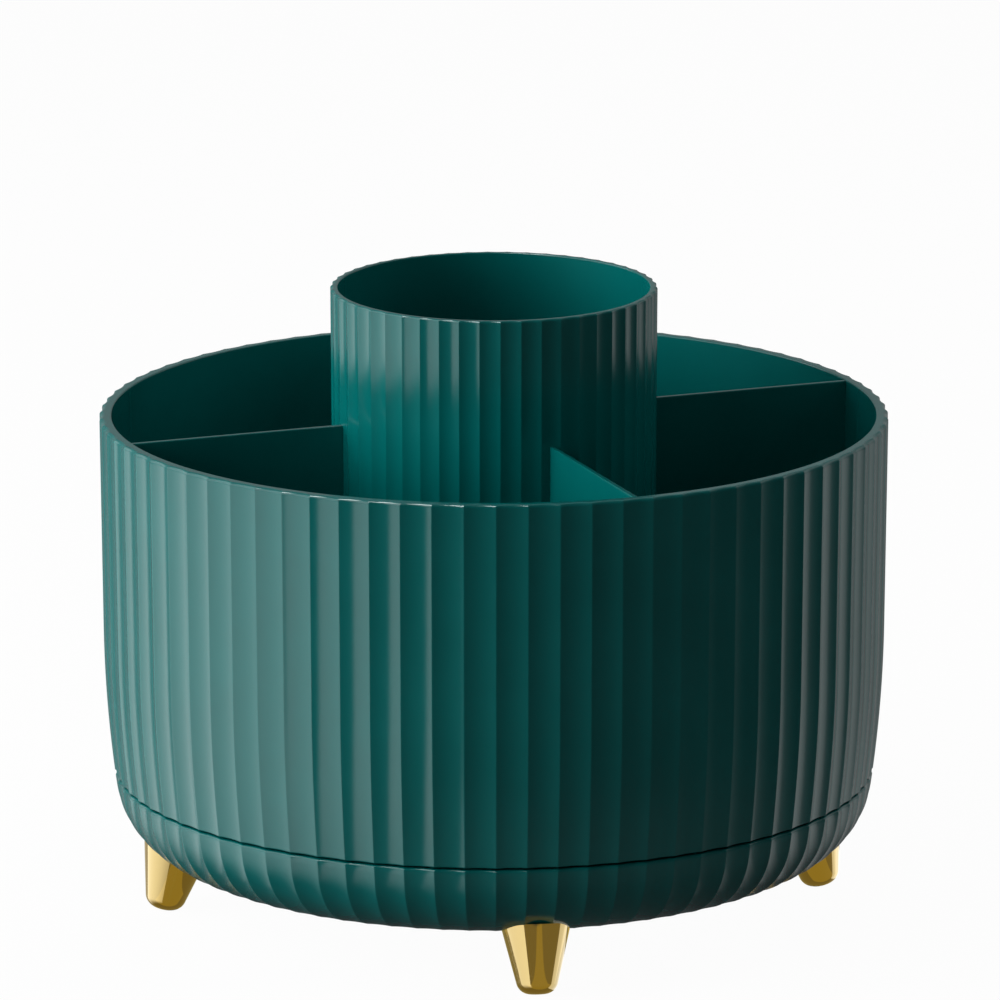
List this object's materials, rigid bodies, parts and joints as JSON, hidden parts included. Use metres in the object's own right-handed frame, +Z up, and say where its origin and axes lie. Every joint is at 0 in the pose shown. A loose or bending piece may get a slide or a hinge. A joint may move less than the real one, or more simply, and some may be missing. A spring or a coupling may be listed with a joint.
{
  "type": "rotating makeup organizer",
  "caption": "Round fluted organizer: a compartment drum with a taller centre cup turns on a ball bearing in a shallow bowl base on splayed gold legs.",
  "frame": {"origin": "on the axis of rotation at table height", "axes": "+Z up along the axis of rotation, +X to the right, +Y away from the front of the picture"},
  "size_m": [0.23, 0.23, 0.1848],
  "materials": {
    "green_plastic": "satin gloss moulded, deep green",
    "gold_plating": "polished gold plating",
    "race_plastic": "natural acetal",
    "cage_plastic": "black nylon",
    "bush_plastic": "natural acetal",
    "ball_steel": "polished bearing steel",
    "screw_steel": "zinc plated",
    "washer_steel": "zinc plated"
  },
  "bodies": {
    "base": {"base_bowl": "green_plastic", "leg_right": "gold_plating", "leg_back": "gold_plating", "leg_left": "gold_plating", "leg_front": "gold_plating", "leg_screws": "screw_steel", "lower_race": "race_plastic", "lower_race_screws": "screw_steel"},
    "ball_ring": {"ball_cage": "cage_plastic", "bearing_balls": "ball_steel"},
    "carousel": {"drum_shell": "green_plastic", "centre_cup": "green_plastic", "divider_right": "green_plastic", "divider_back": "green_plastic", "divider_left": "green_plastic", "divider_front": "green_plastic", "cup_screws": "screw_steel", "upper_race": "race_plastic", "upper_race_screws": "screw_steel", "pivot_bush": "bush_plastic", "centre_washer": "washer_steel", "centre_screw": "screw_steel"}
  },
  "joints": [
    {"name": "drum_spin", "type": "hinge", "parent": "base", "child": "carousel", "pos_m": [0, 0, 0.03636], "axis": [0, 0, 1], "continuous": true},
    {"name": "cage_spin", "type": "hinge", "parent": "base", "child": "ball_ring", "pos_m": [0, 0, 0.03636], "axis": [0, 0, 1], "continuous": true}
  ],
  "couplings": [
    {"joint": "cage_spin", "follows": "drum_spin", "ratio": 0.5}
  ]
}
